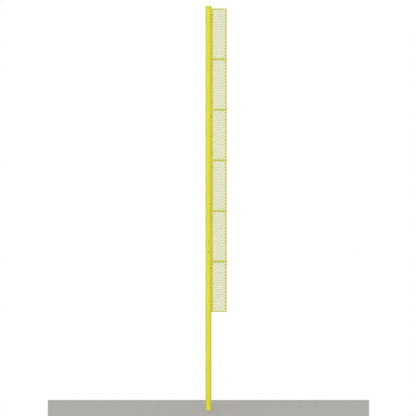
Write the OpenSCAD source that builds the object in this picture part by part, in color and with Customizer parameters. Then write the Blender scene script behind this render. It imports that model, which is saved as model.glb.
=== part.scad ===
// Foul pole with a mesh wing, standing in a ground sleeve.
// Units are millimetres. The origin is on the pole's axis at ground level, +Z is up,
// and the wing stands out along +X with its front face towards -Y.

/* [Pole] */
// Outside diameter of the pole
pole_od = 177.8; // [140:0.1:220]
// Wall of the pole tube
pole_wall = 5.9; // [4:0.1:10]
// Height of the cap's crown above the ground
pole_height = 12192; // [10700:1:13700]
// Length of the lower section, foot to joint
lower_length = 6141; // [5200:1:6900]

/* [Cap] */
// Wall of the cap
cap_wall = 3; // [2:0.1:5]
// Rise of the cap's crown above its rim
cap_rise = 22; // [12:1:40]
// Length of the cap's skirt down the pole
cap_skirt = 32; // [20:1:60]

/* [Pole joint] */
// Length of the inner sleeve that joins the two sections
splice_length = 610; // [420:1:900]
// Wall of the inner sleeve
splice_wall = 8; // [5:0.1:12]
// Distance of each through bolt from the joint
splice_bolt_offset = 158.5; // [80:0.1:200]
// Diameter of the through bolts
splice_bolt_d = 15.9; // [12:0.1:20]
// Width of the saddle blocks under the bolt heads and nuts
saddle_width = 40; // [32:0.5:60]
// Thickness of a saddle block at its middle
saddle_crown = 4; // [2.5:0.1:8]

/* [Ground sleeve] */
// Depth of the sleeve below the ground, base plate included
sleeve_depth = 1219.2; // [900:0.1:1500]
// Space between the pole and the sleeve's bore
sleeve_gap = 12.45; // [8:0.05:20]
// Wall of the sleeve
sleeve_wall = 8.2; // [5:0.1:12]
// Thickness of the base plate
base_plate_t = 12.7; // [8:0.1:20]
// Diameter of the drain hole in the base plate
drain_d = 50; // [25:1:90]
// Height of the two guide rings
ring_height = 38; // [20:1:60]
// Depth of the upper guide ring below the ground
ring_drop = 15; // [0:1:60]

/* [Wing frame] */
// Number of wing panels
panel_count = 6; // [2:1:6]
// Width of a wing panel
panel_w = 457.2; // [360:0.1:560]
// Height of a wing panel
panel_h = 1524; // [1320:1:1590]
// Depth of the frame, front to back, and height of its rails
frame_tube = 25.4; // [22:0.1:30]
// Width of the stiles, seen from the front
stile_w = 38.1; // [28:0.1:44]
// Wall of the frame tubes
frame_wall = 2.1; // [1.5:0.1:3]
// Drop from the pole's crown to the top of the wing
wing_drop = 88.9; // [70:0.1:300]
// Gap between the pole and the wing frame
wing_gap = 3.2; // [1:0.1:10]

/* [Mesh] */
// Width of one mesh diamond, middle of strand to middle of strand
mesh_pitch_x = 59.2; // [50:0.1:80]
// Height of one mesh diamond, middle of strand to middle of strand
mesh_pitch_z = 101.6; // [92:0.1:140]
// Distance from the wing's middle to the middle of a diamond in the top row
mesh_shift = 22; // [0:0.1:30]
// Width of a mesh strand
strand_w = 13.5; // [6:0.1:15]
// Thickness of the mesh sheet
mesh_t = 3.2; // [2:0.1:5]
// Width of the closed edge strip that the mesh is welded in by
mesh_edge = 2.5; // [1:0.1:6]
// Distance of the mesh from the back face of the frame
mesh_setback = 2; // [0:0.1:4]

/* [Mounting tabs] */
// Height of a mounting tab
tab_height = 50.8; // [30:0.1:80]
// Thickness of a mounting tab
tab_t = 6.4; // [4:0.1:10]
// Distance of a tab's middle from the panel's end
tab_inset = 203.2; // [100:0.1:400]

/* [Small fasteners] */
// Diameter of the bolts that hold the wing to the tabs
tab_bolt_d = 9.5; // [8:0.1:11]
// Diameter of the bolts that hold panel to panel
joint_bolt_d = 7.9; // [6:0.1:8.5]
// Distance of a panel bolt from the panel's side edge
joint_bolt_inset = 76.2; // [60:0.1:150]

/* [Clearances] */
// Radial clearance of the pole in the guide rings
guide_clear = 0.8; // [0.4:0.1:2]
// Radial clearance of the inner sleeve in the pole
splice_clear = 0.4; // [0.2:0.1:1]
// Radial clearance of the cap on the pole
cap_clear = 0.3; // [0.2:0.1:1]
// Radial clearance of a bolt in its hole
bolt_clear = 0.6; // [0.3:0.1:0.9]
// Radial clearance of a nut or washer on its bolt
thread_clear = 0.1; // [0.05:0.05:0.3]
// Radial clearance of the guide rings in the sleeve's bore
ring_clear = 0.2; // [0.1:0.05:0.5]
// Space between the mesh and the hardware that stands in front of it
mesh_clear = 2.5; // [1:0.1:3]

/* [Hidden] */
// Facets of the big tubes and of the small round things
tube_fn = 96;
bolt_fn = 32;
// A cut runs this far past the face it opens
cut = 1;

pole_r = pole_od / 2;
pole_bore_r = pole_r - pole_wall;

// Sleeve: radii from the pole outwards, and the floor that the pole stands on
sleeve_bore_r = pole_r + sleeve_gap;
sleeve_r = sleeve_bore_r + sleeve_wall;
sleeve_floor_z = -sleeve_depth + base_plate_t;

// Pole stations
foot_z = sleeve_floor_z;
joint_z = foot_z + lower_length;
tube_top_z = pole_height - cap_rise - cap_wall;
cap_bore_r = pole_r + cap_clear;
cap_r = cap_bore_r + cap_wall;
splice_r = pole_bore_r - splice_clear;
splice_bore_r = splice_r - splice_wall;

// Wing stations
wing_x = pole_r + wing_gap;
wing_top_z = pole_height - wing_drop;
frame_back_y = frame_tube / 2;
mesh_back_y = frame_back_y - mesh_setback;
mesh_front_y = mesh_back_y - mesh_t;
clear_w = panel_w - 2 * stile_w;
clear_h = panel_h - 2 * frame_tube;

// Hex fasteners: each size is a multiple of the bolt's diameter, as on inch hex bolts
function head_across(d) = 1.5 * d;
function head_height(d) = 0.63 * d;
function nut_height(d) = 0.88 * d;
function washer_r(d) = 1.08 * d;
function washer_t(d) = 0.2 * d;
function bolt_past(d) = 0.35 * d;
function across_corners_r(d) = head_across(d) / 2 / cos(30);

tab_washer_t = washer_t(tab_bolt_d);
joint_washer_t = washer_t(joint_bolt_d);
tab_bolt_x = wing_x + stile_w / 2;
joint_bolt_y = min(0, mesh_front_y - mesh_clear - washer_r(joint_bolt_d));

// Panels are counted from the bottom of the wing, starting at 1
panels = [for (i = [1:panel_count]) i];
function panel_z(i) = wing_top_z - (panel_count - i + 1) * panel_h;
function tab_z(i, upper) = panel_z(i) + (upper ? panel_h - tab_inset : tab_inset);
function joint_bolt_x(outer) = wing_x + (outer ? panel_w - joint_bolt_inset : joint_bolt_inset);
function numbered(name) = [for (i = panels) str(name, "_", i)];

// ---------- shared shapes ----------

// Round tube standing on z
module tube(outer_r, inner_r, length) {
    difference() {
        cylinder(r = outer_r, h = length, $fn = tube_fn);
        translate([0, 0, -cut]) cylinder(r = inner_r, h = length + 2 * cut, $fn = tube_fn);
    }
}

// Points children along +Y
module facing_back() {
    rotate([-90, 0, 0]) children();
}

// Hole through a wall, centred on the origin, along z
module hole(d, length) {
    cylinder(d = d + 2 * bolt_clear, h = length, center = true, $fn = bolt_fn);
}

// Hex bolt with its head below z = 0 and its shank up to z = length
module hex_bolt(d, length) {
    translate([0, 0, -head_height(d)]) cylinder(r = across_corners_r(d), h = head_height(d), $fn = 6);
    translate([0, 0, -cut]) cylinder(d = d, h = length + cut, $fn = bolt_fn);
}

// Hex nut standing on z = 0
module hex_nut(d) {
    difference() {
        cylinder(r = across_corners_r(d), h = nut_height(d), $fn = 6);
        cylinder(d = d + 2 * thread_clear, h = 4 * nut_height(d), center = true, $fn = bolt_fn);
    }
}

// Flat washer standing on z = 0
module washer(d) {
    difference() {
        cylinder(r = washer_r(d), h = washer_t(d), $fn = bolt_fn);
        cylinder(d = d + 2 * thread_clear, h = 4 * washer_t(d), center = true, $fn = bolt_fn);
    }
}

// ---------- ground sleeve ----------

module ground_sleeve() {
    color("darkgray") translate([0, 0, sleeve_floor_z]) tube(sleeve_r, sleeve_bore_r, -sleeve_floor_z);
}

module sleeve_base_plate() {
    color("darkgray") translate([0, 0, -sleeve_depth]) tube(sleeve_r, drain_d / 2, base_plate_t);
}

module guide_ring() {
    tube(sleeve_bore_r - ring_clear, pole_r + guide_clear, ring_height);
}

module upper_guide_ring() {
    color("gray") translate([0, 0, -ring_drop - ring_height]) guide_ring();
}

module lower_guide_ring() {
    color("gray") translate([0, 0, sleeve_floor_z]) guide_ring();
}

// ---------- pole ----------

// The two through-bolt holes of the pole joint
module splice_holes() {
    for (side = [-1, 1])
        translate([0, 0, joint_z + side * splice_bolt_offset]) facing_back() hole(splice_bolt_d, 2 * pole_od);
}

module lower_pole() {
    color("yellow") difference() {
        translate([0, 0, foot_z]) tube(pole_r, pole_bore_r, joint_z - foot_z);
        splice_holes();
    }
}

module upper_pole() {
    color("yellow") difference() {
        translate([0, 0, joint_z]) tube(pole_r, pole_bore_r, tube_top_z - joint_z);
        splice_holes();
    }
}

// Half profile of a crown that rises over a rim of radius r
module crown_profile(r, rise) {
    ball_r = (r * r + rise * rise) / (2 * rise);
    intersection() {
        translate([0, rise - ball_r]) circle(r = ball_r, $fn = 4 * tube_fn);
        square([r, rise]);
    }
}

// A pressed shell: its skirt goes over the tube, and a ledge rests on the tube's end
module pole_cap() {
    color("gold") translate([0, 0, tube_top_z]) rotate_extrude($fn = tube_fn) difference() {
        union() {
            translate([0, cap_wall]) crown_profile(cap_r, cap_rise);
            translate([0, -cap_skirt]) square([cap_r, cap_skirt + cap_wall]);
        }
        translate([0, -cap_skirt - cut]) square([cap_bore_r, cap_skirt + cut]);
        translate([0, -cut]) square([pole_bore_r, 2 * cut]);
        crown_profile(pole_bore_r, cap_rise);
    }
}

module splice_sleeve() {
    color("silver") difference() {
        translate([0, 0, joint_z - splice_length / 2]) tube(splice_r, splice_bore_r, splice_length);
        splice_holes();
    }
}

// Face of a saddle block, measured out from the pole's axis
saddle_face = pole_r + saddle_crown;

module saddle() {
    difference() {
        translate([-saddle_width / 2, 0, -saddle_width / 2])
            cube([saddle_width, saddle_face, saddle_width]);
        cylinder(r = pole_r, h = 2 * saddle_width, center = true, $fn = tube_fn);
        facing_back() hole(splice_bolt_d, 4 * saddle_face);
    }
}

module splice_saddles() {
    color("silver") for (side = [-1, 1], face = [0, 180])
        translate([0, 0, joint_z + side * splice_bolt_offset]) rotate(face) saddle();
}

module splice_bolts() {
    bolt_length = 2 * saddle_face + nut_height(splice_bolt_d) + bolt_past(splice_bolt_d);
    color("silver") for (side = [-1, 1])
        translate([0, -saddle_face, joint_z + side * splice_bolt_offset])
            facing_back() hex_bolt(splice_bolt_d, bolt_length);
}

module splice_nuts() {
    color("silver") for (side = [-1, 1])
        translate([0, saddle_face, joint_z + side * splice_bolt_offset]) facing_back() hex_nut(splice_bolt_d);
}

// ---------- wing frame ----------

// Tube along +Z, mitred to meet tubes of width across at both ends: its long side is at x = 0
module mitred_tube(length, width, across) {
    difference() {
        translate([0, frame_tube / 2, 0]) rotate([90, 0, 0]) linear_extrude(frame_tube)
            polygon([[0, 0], [width, across], [width, length - across], [0, length]]);
        translate([frame_wall, frame_wall - frame_tube / 2, -cut])
            cube([width - 2 * frame_wall, frame_tube - 2 * frame_wall, length + 2 * cut]);
    }
}

module stile() {
    mitred_tube(panel_h, stile_w, frame_tube);
}

module rail() {
    rotate([0, 90, 0]) mitred_tube(panel_w, frame_tube, stile_w);
}

// The tab-bolt holes of a panel, through the inner stile and its tabs
module tab_bolt_holes(i) {
    for (upper = [false, true])
        translate([tab_bolt_x, 0, tab_z(i, upper)]) facing_back() hole(tab_bolt_d, 4 * frame_tube);
}

// The panel-bolt holes, through the rails on both sides of every joint
module panel_bolt_holes(z) {
    for (outer = [false, true])
        translate([joint_bolt_x(outer), joint_bolt_y, z]) hole(joint_bolt_d, 4 * frame_tube);
}

module inner_stile(i) {
    color("yellow") difference() {
        translate([wing_x, 0, panel_z(i)]) stile();
        tab_bolt_holes(i);
    }
}

module outer_stile(i) {
    color("yellow") translate([wing_x + panel_w, 0, panel_z(i)]) mirror([1, 0, 0]) stile();
}

module top_rail(i) {
    color("gold") difference() {
        translate([wing_x, 0, panel_z(i) + panel_h]) rail();
        if (i < panel_count) panel_bolt_holes(panel_z(i) + panel_h);
    }
}

module bottom_rail(i) {
    color("gold") difference() {
        translate([wing_x, 0, panel_z(i)]) mirror([0, 0, 1]) rail();
        if (i > 1) panel_bolt_holes(panel_z(i));
    }
}

// ---------- mesh ----------

// Share of a diamond that is open, once half a strand is taken off each side
strand_length = sqrt(mesh_pitch_x * mesh_pitch_x + mesh_pitch_z * mesh_pitch_z) / 2;
open_share = 1 - strand_w * 2 * strand_length / (mesh_pitch_x * mesh_pitch_z);

module diamond_hole() {
    half_x = open_share * mesh_pitch_x / 2;
    half_z = open_share * mesh_pitch_z / 2;
    polygon([[half_x, 0], [0, half_z], [-half_x, 0], [0, -half_z]]);
}

// Diamonds in rows, each row half a diamond to the side of the one below it
module diamond_rows() {
    columns = ceil(panel_w / mesh_pitch_x / 2);
    half_rows = ceil(2 * panel_h / mesh_pitch_z);
    for (row = [0:half_rows], column = [-columns:columns])
        translate([mesh_shift + (column + (row % 2) / 2) * mesh_pitch_x, -row * mesh_pitch_z / 2])
            diamond_hole();
}

// The sheet fills the frame; its rows are counted down from the panel's top edge
module mesh(i) {
    color("khaki") translate([wing_x + panel_w / 2, mesh_back_y, panel_z(i) + panel_h])
        rotate([90, 0, 0]) linear_extrude(mesh_t) difference() {
            translate([-clear_w / 2, -frame_tube - clear_h]) square([clear_w, clear_h]);
            intersection() {
                translate([mesh_edge - clear_w / 2, mesh_edge - frame_tube - clear_h])
                    square([clear_w - 2 * mesh_edge, clear_h - 2 * mesh_edge]);
                diamond_rows();
            }
        }
}

// ---------- mounting tabs ----------

// Flat plate behind the stile, coped to the pole
module tab(i, upper) {
    color("yellow") difference() {
        translate([0, frame_back_y, tab_z(i, upper) - tab_height / 2])
            cube([wing_x + stile_w, tab_t, tab_height]);
        translate([0, 0, tab_z(i, upper)])
            cylinder(r = pole_r, h = 2 * tab_height, center = true, $fn = tube_fn);
        tab_bolt_holes(i);
    }
}

module at_tabs() {
    for (i = panels, upper = [false, true]) translate([tab_bolt_x, 0, tab_z(i, upper)]) children();
}

tab_back_y = frame_back_y + tab_t;

module tab_bolts() {
    grip = frame_tube + tab_t + 2 * tab_washer_t;
    color("silver") at_tabs() translate([0, -frame_back_y - tab_washer_t, 0]) facing_back()
        hex_bolt(tab_bolt_d, grip + nut_height(tab_bolt_d) + bolt_past(tab_bolt_d));
}

module tab_nuts() {
    color("silver") at_tabs() translate([0, tab_back_y + tab_washer_t, 0]) facing_back()
        hex_nut(tab_bolt_d);
}

module tab_washers() {
    color("silver") at_tabs() {
        translate([0, -frame_back_y - tab_washer_t, 0]) facing_back() washer(tab_bolt_d);
        translate([0, tab_back_y, 0]) facing_back() washer(tab_bolt_d);
    }
}

// ---------- panel-to-panel bolts ----------

module at_panel_joints() {
    for (i = [2:panel_count], outer = [false, true])
        translate([joint_bolt_x(outer), joint_bolt_y, panel_z(i)]) children();
}

module panel_bolts() {
    grip = 2 * frame_tube + 2 * joint_washer_t;
    color("silver") at_panel_joints() translate([0, 0, -frame_tube - joint_washer_t])
        hex_bolt(joint_bolt_d, grip + nut_height(joint_bolt_d) + bolt_past(joint_bolt_d));
}

module panel_nuts() {
    color("silver") at_panel_joints() translate([0, 0, frame_tube + joint_washer_t]) hex_nut(joint_bolt_d);
}

module panel_washers() {
    color("silver") at_panel_joints() {
        translate([0, 0, -frame_tube - joint_washer_t]) washer(joint_bolt_d);
        translate([0, 0, frame_tube]) washer(joint_bolt_d);
    }
}

ground_sleeve();
sleeve_base_plate();
upper_guide_ring();
lower_guide_ring();
lower_pole();
upper_pole();
pole_cap();
splice_sleeve();
splice_bolts();
splice_nuts();
splice_saddles();
for (i = panels) {
    inner_stile(i);
    outer_stile(i);
    top_rail(i);
    bottom_rail(i);
    mesh(i);
    tab(i, true);
    tab(i, false);
}
tab_bolts();
tab_nuts();
tab_washers();
panel_bolts();
panel_nuts();
panel_washers();
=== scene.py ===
"""Foul pole with a mesh wing: finished pieces modelled round the fixed CAD frame."""

from functools import partialmethod
from math import atan2, cos, pi, radians, sin, sqrt, tan

import bmesh
import bpy
from bpy.props import FloatProperty, FloatVectorProperty, IntProperty, PointerProperty
from bpy.types import Operator, Panel, PropertyGroup
from mathutils import Matrix, Vector


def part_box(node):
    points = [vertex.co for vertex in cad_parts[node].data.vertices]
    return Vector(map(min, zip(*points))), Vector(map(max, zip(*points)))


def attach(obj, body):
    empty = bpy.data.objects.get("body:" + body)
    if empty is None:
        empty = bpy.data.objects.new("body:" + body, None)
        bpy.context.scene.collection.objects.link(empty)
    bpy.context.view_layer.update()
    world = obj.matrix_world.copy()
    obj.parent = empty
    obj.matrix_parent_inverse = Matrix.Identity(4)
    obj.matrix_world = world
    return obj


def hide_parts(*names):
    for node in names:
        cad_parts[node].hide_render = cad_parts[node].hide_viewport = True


bl_info = {
    "name": "Foul Pole",
    "version": (1, 0, 0),
    "blender": (4, 5, 0),
    "location": "3D View > Sidebar > Foul Pole",
    "description": "Models a tall foul pole with a wing of mesh panels and its ground sleeve",
    "category": "Add Mesh",
}

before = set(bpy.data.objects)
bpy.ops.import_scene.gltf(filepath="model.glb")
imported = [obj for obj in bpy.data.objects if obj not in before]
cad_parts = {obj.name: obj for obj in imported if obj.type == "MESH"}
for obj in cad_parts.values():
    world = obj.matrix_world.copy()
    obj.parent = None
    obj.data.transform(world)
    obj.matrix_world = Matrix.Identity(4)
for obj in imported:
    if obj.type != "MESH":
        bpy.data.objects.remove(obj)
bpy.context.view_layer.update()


def low(node):
    """Lowest corner of a CAD node."""
    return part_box(node)[0]


def high(node):
    """Highest corner of a CAD node."""
    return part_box(node)[1]


# Bodies that the pieces ride on
SOCKET, POLE = "ground_socket", "pole_and_wing"

# Stations of the wing: its panels are counted from the bottom, starting at 1
PANELS = range(1, 1 + sum(name.startswith("mesh_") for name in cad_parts))
WING_X = low("inner_stile_1").x
PANEL_W = high("outer_stile_1").x - WING_X
PANEL_H = high("inner_stile_1").z - low("inner_stile_1").z
TUBE = high("bottom_rail_1").z - low("bottom_rail_1").z
STILE = high("inner_stile_1").x - WING_X
TAB_BACK_Y, TAB_BOLT_X = high("upper_tab_1").y, WING_X + STILE / 2

# Pieces overlap by this much where one is buried in another
EMBED = 0.0006


def panel_z(i):
    """Height of the bottom edge of a panel."""
    return low(f"inner_stile_{i}").z


def middle_of(node):
    """Middle of a CAD node's box."""
    return (low(node) + high(node)) / 2


# Heights of the tabs, from the lowest up
TAB_HEIGHTS = [middle_of(f"{end}_tab_{i}").z for i in PANELS for end in ("lower", "upper")]


# ---------- sizes and colours ----------


def length(name, default, description):
    """A length in metres that a user may change."""
    return FloatProperty(
        name=name, description=description, default=default, min=0, unit="LENGTH", subtype="DISTANCE"
    )


def colour(name, default, description):
    """A surface colour that a user may change."""
    return FloatVectorProperty(
        name=name, description=description, default=default, min=0, max=1, size=3, subtype="COLOR"
    )


def share(name, default, description):
    """A share between 0 and 1."""
    return FloatProperty(name=name, description=description, default=default, min=0, max=1, subtype="FACTOR")


def strength(name, default, description):
    """A strength of a light."""
    return FloatProperty(name=name, description=description, default=default)


class PoleSizes(PropertyGroup):
    """Sizes of the pole, its cap, its joint and its ground sleeve."""

    radius: length("Pole Radius", high("upper_pole").x, "Outside radius of the pole")
    wall: length("Pole Wall", 0.0059, "Wall of the pole tube")
    sides: IntProperty(name="Sides", description="Sides of every big round tube", default=96, min=24)
    rim_round: length("Rim Rounding", 0.0012, "Rounding of the tube ends")
    cap_radius: length("Cap Radius", high("pole_cap").x, "Outside radius of the cap's skirt")
    cap_wall: length("Cap Wall", 0.003, "Wall of the pressed cap")
    cap_shoulder: length("Cap Shoulder", 0.006, "Rounding where the cap's crown meets its skirt")
    lip_height: length("Lip Height", 0.0064, "Height of the rolled lip under the cap's skirt")
    lip_proud: length("Lip Roll", 0.0018, "How far the rolled lip stands out from the skirt")
    joint_wall: length("Inner Sleeve Wall", 0.008, "Wall of the sleeve inside the pole joint")
    saddle_width: length("Saddle Width", 0.04, "Width and height of a saddle block")
    sleeve_wall: length("Sleeve Wall", 0.0082, "Wall of the ground sleeve")
    drain_radius: length("Drain Radius", 0.025, "Radius of the drain hole in the base plate")
    ring_bore: length("Guide Ring Bore", 0.0897, "Bore radius of the guide rings")


class WingSizes(PropertyGroup):
    """Sizes of the wing's frames, mesh and mounting tabs."""

    tube_wall: length("Tube Wall", 0.0021, "Wall of the frame tubes")
    tube_corner: length("Tube Corner", 0.003, "Outside corner radius of the frame tubes")
    pitch_x: length("Diamond Width", 0.0592, "Width of one mesh diamond")
    pitch_z: length("Diamond Height", 0.1016, "Height of one mesh diamond")
    shift: length("Mesh Shift", 0.022, "Distance from the wing's middle to a diamond of the top row")
    strand: length("Strand Width", 0.0162, "Width of one mesh strand, measured level")
    gauge: length("Mesh Gauge", 0.003, "Thickness of the mesh metal")
    rise: length("Mesh Rise", 0.0018, "How far each strand leans out of the mesh's middle plane")
    bond: length("Bond Height", 0.01, "Height of the solid part where two strands meet")
    bond_half: length("Bond Half Width", 0.0081, "Half the width of the part where two strands meet")
    fork: length("Fork Height", 0.007, "Height over which a strand widens as it leaves a bond")
    edge: length("Edge Strip", 0.0025, "Width of the flat strip that the mesh is welded in by")
    tab_corner: length("Tab Corner", 0.008, "Corner radius of a mounting tab")
    bead: length("Weld Size", 0.0026, "Radius of a weld bead")


class HardwareSizes(PropertyGroup):
    """Sizes of the bolts, nuts and washers."""

    splice_bolt: length("Through Bolt", 0.0159, "Diameter of the bolts through the pole joint")
    tab_bolt: length("Tab Bolt", 0.0095, "Diameter of the bolts that hold the wing to its tabs")
    panel_bolt: length("Panel Bolt", 0.0079, "Diameter of the bolts that hold panel to panel")
    panel_bolt_inset: length("Panel Bolt Inset", 0.0762, "Distance of a panel bolt from the panel's edge")
    bolt_clear: length("Bolt Clearance", 0.0006, "Radial clearance of a bolt in its hole")
    thread_clear: length("Thread Clearance", 0.0001, "Radial clearance of a nut or washer on its bolt")


class Finishes(PropertyGroup):
    """Colours and textures of the surfaces."""

    pole_yellow: colour("Pole Yellow", (0.74, 0.73, 0.016), "Powder coat of the pole")
    frame_yellow: colour("Frame Yellow", (0.58, 0.59, 0.012), "Powder coat of the wing frames and tabs")
    # Darker than the frame yellow, though the mesh wears the same coat: the difference is painted shade on
    # the strands
    mesh_yellow: colour("Mesh Yellow", (0.468, 0.478, 0.011), "Powder coat of the mesh")
    # This dark colour also paints the shadow under the cap's lip and part of the shade on faces that look up
    grime: colour("Grime", (0.2, 0.18, 0.09), "Rain streaks and runs under the bolts")
    dust: colour("Dust", (0.52, 0.47, 0.33), "Dry dust splashed up from the ground")
    rust: colour("Rust", (0.23, 0.1, 0.035), "Rust that comes through worn paint")
    soil: colour("Soil", (0.16, 0.125, 0.085), "Soil that clings to the buried sleeve and pole")
    galvanised: colour("Galvanised Steel", (0.36, 0.375, 0.38), "Hot-dip galvanised steel")
    zinc: colour("Zinc Plate", (0.3, 0.31, 0.3), "Zinc plated bolts and nuts")
    coat_roughness: share("Coat Roughness", 0.42, "Roughness of the clean powder coat")
    splash_reach: length("Splash Reach", 0.2, "How high dust splashes up the pole")


class StageSettings(PropertyGroup):
    """The floor, the light and the camera."""

    floor_grey: colour("Floor Grey", (0.322, 0.318, 0.299), "Colour of the floor slab")
    floor_side: length("Floor Side", 9.747, "Width of the floor slab")
    floor_back: length("Floor Back", 4.31, "Distance from the pole to the floor slab's back edge")
    floor_depth: length("Floor Thickness", 0.15, "Thickness of the floor slab")
    ambient: strength("Ambient Light", 0.42, "Strength of the light from all round")
    key: strength("Key Light", 2.05, "Strength of the soft lamp on the left")
    fill: strength("Fill Light", 0.5, "Strength of the soft lamp on the right")
    back: strength("Back Light", 0.8, "Strength of the soft lamp behind")
    camera_tilt: FloatProperty(
        name="Camera Tilt",
        description="Angle at which the camera looks down",
        default=radians(3.46),
        subtype="ANGLE",
    )
    camera_distance: length("Camera Distance", 556.12, "Distance of the camera from its aim point")
    aim: FloatVectorProperty(
        name="Aim Point",
        description="Point that the camera looks at",
        default=(-0.0126, 0, 6.0933),
        size=3,
        unit="LENGTH",
        subtype="XYZ",
    )


# ---------- modelling by hand ----------


def take(*pieces):
    """Selects just these pieces, and makes the first one active."""
    if bpy.context.mode != "OBJECT":
        bpy.ops.object.mode_set(mode="OBJECT")
    bpy.ops.object.select_all(action="DESELECT")
    for piece in pieces:
        piece.select_set(True)
    if pieces:
        bpy.context.view_layer.objects.active = pieces[0]


def started(name):
    """Names the primitive that was just added, and moves its place into its mesh."""
    piece = bpy.context.object
    piece.name = piece.data.name = name
    bpy.ops.object.transform_apply(location=True, rotation=True, scale=True)
    return piece


def open_mesh(piece):
    """Opens a piece for editing, with nothing selected."""
    take(piece)
    bpy.ops.object.mode_set(mode="EDIT")
    bpy.ops.mesh.select_all(action="DESELECT")


def close_mesh(recalculate=True):
    """Ends editing, and turns every face outwards unless told not to."""
    if recalculate:
        bpy.ops.mesh.select_all(action="SELECT")
        bpy.ops.mesh.normals_make_consistent(inside=False)
    bpy.ops.object.mode_set(mode="OBJECT")


def middle(part):
    """Middle of an edge or a face."""
    return sum((corner.co for corner in part.verts), Vector()) / len(part.verts)


def near(a, b, within=1e-5):
    """Whether two lengths are the same."""
    return abs(a - b) < within


def level(edge):
    """Whether the two ends of an edge are at one height."""
    return near(edge.verts[0].co.z, edge.verts[1].co.z)


def round_edge(edge, height):
    """Whether an edge runs round Z at a height."""
    a, b = (vertex.co for vertex in edge.verts)
    return near(a.z, height) and near(b.z, height) and near(a.xy.length, b.xy.length)


def choose(kind, test):
    """Selects the vertices, edges or faces of the open mesh that pass the test."""
    bpy.ops.mesh.select_mode(type=kind)
    bpy.ops.mesh.select_all(action="DESELECT")
    mesh = bpy.context.edit_object.data
    shape = bmesh.from_edit_mesh(mesh)
    parts = {"VERT": shape.verts, "EDGE": shape.edges, "FACE": shape.faces}[kind]
    chosen = [part for part in parts if test(part)]
    if not chosen:
        raise RuntimeError(f"nothing to select on {bpy.context.edit_object.name}")
    for part in chosen:
        part.select_set(True)
    shape.select_flush_mode()
    bmesh.update_edit_mesh(mesh)


def sliced(place, normal, **settings):
    """Slices the whole open mesh along a plane."""
    bpy.ops.mesh.select_all(action="SELECT")
    bpy.ops.mesh.bisect(plane_co=place, plane_no=normal, **settings)


def thrown_away(*pieces):
    """Removes patterns and cutters that have done their work."""
    for piece in pieces:
        mesh = piece.data
        bpy.data.objects.remove(piece)
        bpy.data.meshes.remove(mesh)


def applied(piece, kind, **settings):
    """Adds a modifier, sets it and applies it."""
    modifier = piece.modifiers.new(kind.title(), kind)
    for setting, value in settings.items():
        setattr(modifier, setting, value)
    take(piece)
    bpy.ops.object.modifier_apply(modifier=modifier.name)
    return piece


def cut(piece, cutter, operation="DIFFERENCE"):
    """Cuts a piece with another, which is then thrown away."""
    applied(piece, "BOOLEAN", operation=operation, object=cutter, solver="EXACT")
    thrown_away(cutter)
    return piece


def add_block(name, place, size):
    """A block round a place."""
    take()
    bpy.ops.mesh.primitive_cube_add(size=1, location=place, scale=size)
    return started(name)


def add_rod(name, sides, radius, bottom, top):
    """A rod standing on Z, with flat sides."""
    take()
    place = (0, 0, (top + bottom) / 2)
    bpy.ops.mesh.primitive_cylinder_add(vertices=sides, radius=radius, depth=top - bottom, location=place)
    return started(name)


def add_sheet(name, half_wide, half_tall):
    """A flat sheet, upright round the origin."""
    take()
    bpy.ops.mesh.primitive_plane_add(size=2, rotation=(pi / 2, 0, 0))
    piece = started(name)
    open_mesh(piece)
    bpy.ops.mesh.select_all(action="SELECT")
    bpy.ops.transform.resize(value=(half_wide, 1, half_tall), center_override=(0, 0, 0))
    close_mesh(recalculate=False)
    return piece


def add_tube(name, outer, inner, bottom, top, rim, sides):
    """A round tube standing on Z, with rounded rims."""
    piece = add_rod(name, sides, outer, bottom, top)
    open_mesh(piece)
    choose("FACE", lambda face: abs(face.normal.z) > 0.9)
    bpy.ops.mesh.inset(thickness=(outer - inner) * cos(pi / sides))
    bpy.ops.mesh.delete(type="FACE")
    choose("EDGE", lambda edge: edge.is_boundary)
    bpy.ops.mesh.bridge_edge_loops()
    choose("EDGE", lambda edge: any(round_edge(edge, height) for height in (bottom, top)))
    bpy.ops.mesh.bevel(offset=rim, segments=3, affect="EDGES")
    close_mesh()
    return piece


def add_circle(name, fill, station, sides, turn=0):
    """A flat, filled circle round Z at a station of height and radius."""
    height, radius = station
    take()
    bpy.ops.mesh.primitive_circle_add(
        vertices=sides, radius=radius, fill_type=fill, location=(0, 0, height), rotation=(0, 0, turn)
    )
    return started(name)


def drawn_out(stations):
    """Extrudes what is selected through stations of height and radius."""
    height, radius = stations[0]
    for next_height, next_radius in stations[1:]:
        bpy.ops.mesh.extrude_region_move(TRANSFORM_OT_translate={"value": (0, 0, next_height - height)})
        growth = next_radius / radius
        bpy.ops.transform.resize(value=(growth, growth, 1), center_override=(0, 0, next_height))
        height, radius = next_height, next_radius


def add_turned(name, stations, sides, turn=0):
    """A solid turned about Z, through stations of height and radius."""
    piece = add_circle(name, "NGON", stations[0], sides, turn)
    open_mesh(piece)
    bpy.ops.mesh.select_all(action="SELECT")
    drawn_out(stations)
    close_mesh()
    return piece


def add_turned_skin(name, peak, stations, sides):
    """An open skin turned about Z, from its peak through stations of height and radius."""
    piece = add_circle(name, "TRIFAN", stations[0], sides)
    open_mesh(piece)
    choose("EDGE", lambda edge: edge.is_boundary)
    drawn_out(stations)
    choose("VERT", lambda vertex: near(vertex.co.xy.length, 0))
    bpy.ops.transform.translate(value=(0, 0, peak - stations[0][0]))
    close_mesh()
    return piece


# Half the length of a drill, which is longer than any piece is wide
DRILL_REACH = 0.2


def drilled(piece, places, radius):
    """Drills holes along each place's own Z through a piece."""
    for place in places:
        drill = add_turned("drill", [(-DRILL_REACH, radius), (DRILL_REACH, radius)], 24)
        drill.data.transform(place)
        cut(piece, drill)
    return piece


def copied(source, name, place):
    """A copy of a piece with a mesh of its own, put in its place."""
    piece = source.copy()
    piece.data = source.data.copy()
    piece.name = piece.data.name = name
    piece.data.transform(place)
    bpy.context.scene.collection.objects.link(piece)
    return piece


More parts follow.
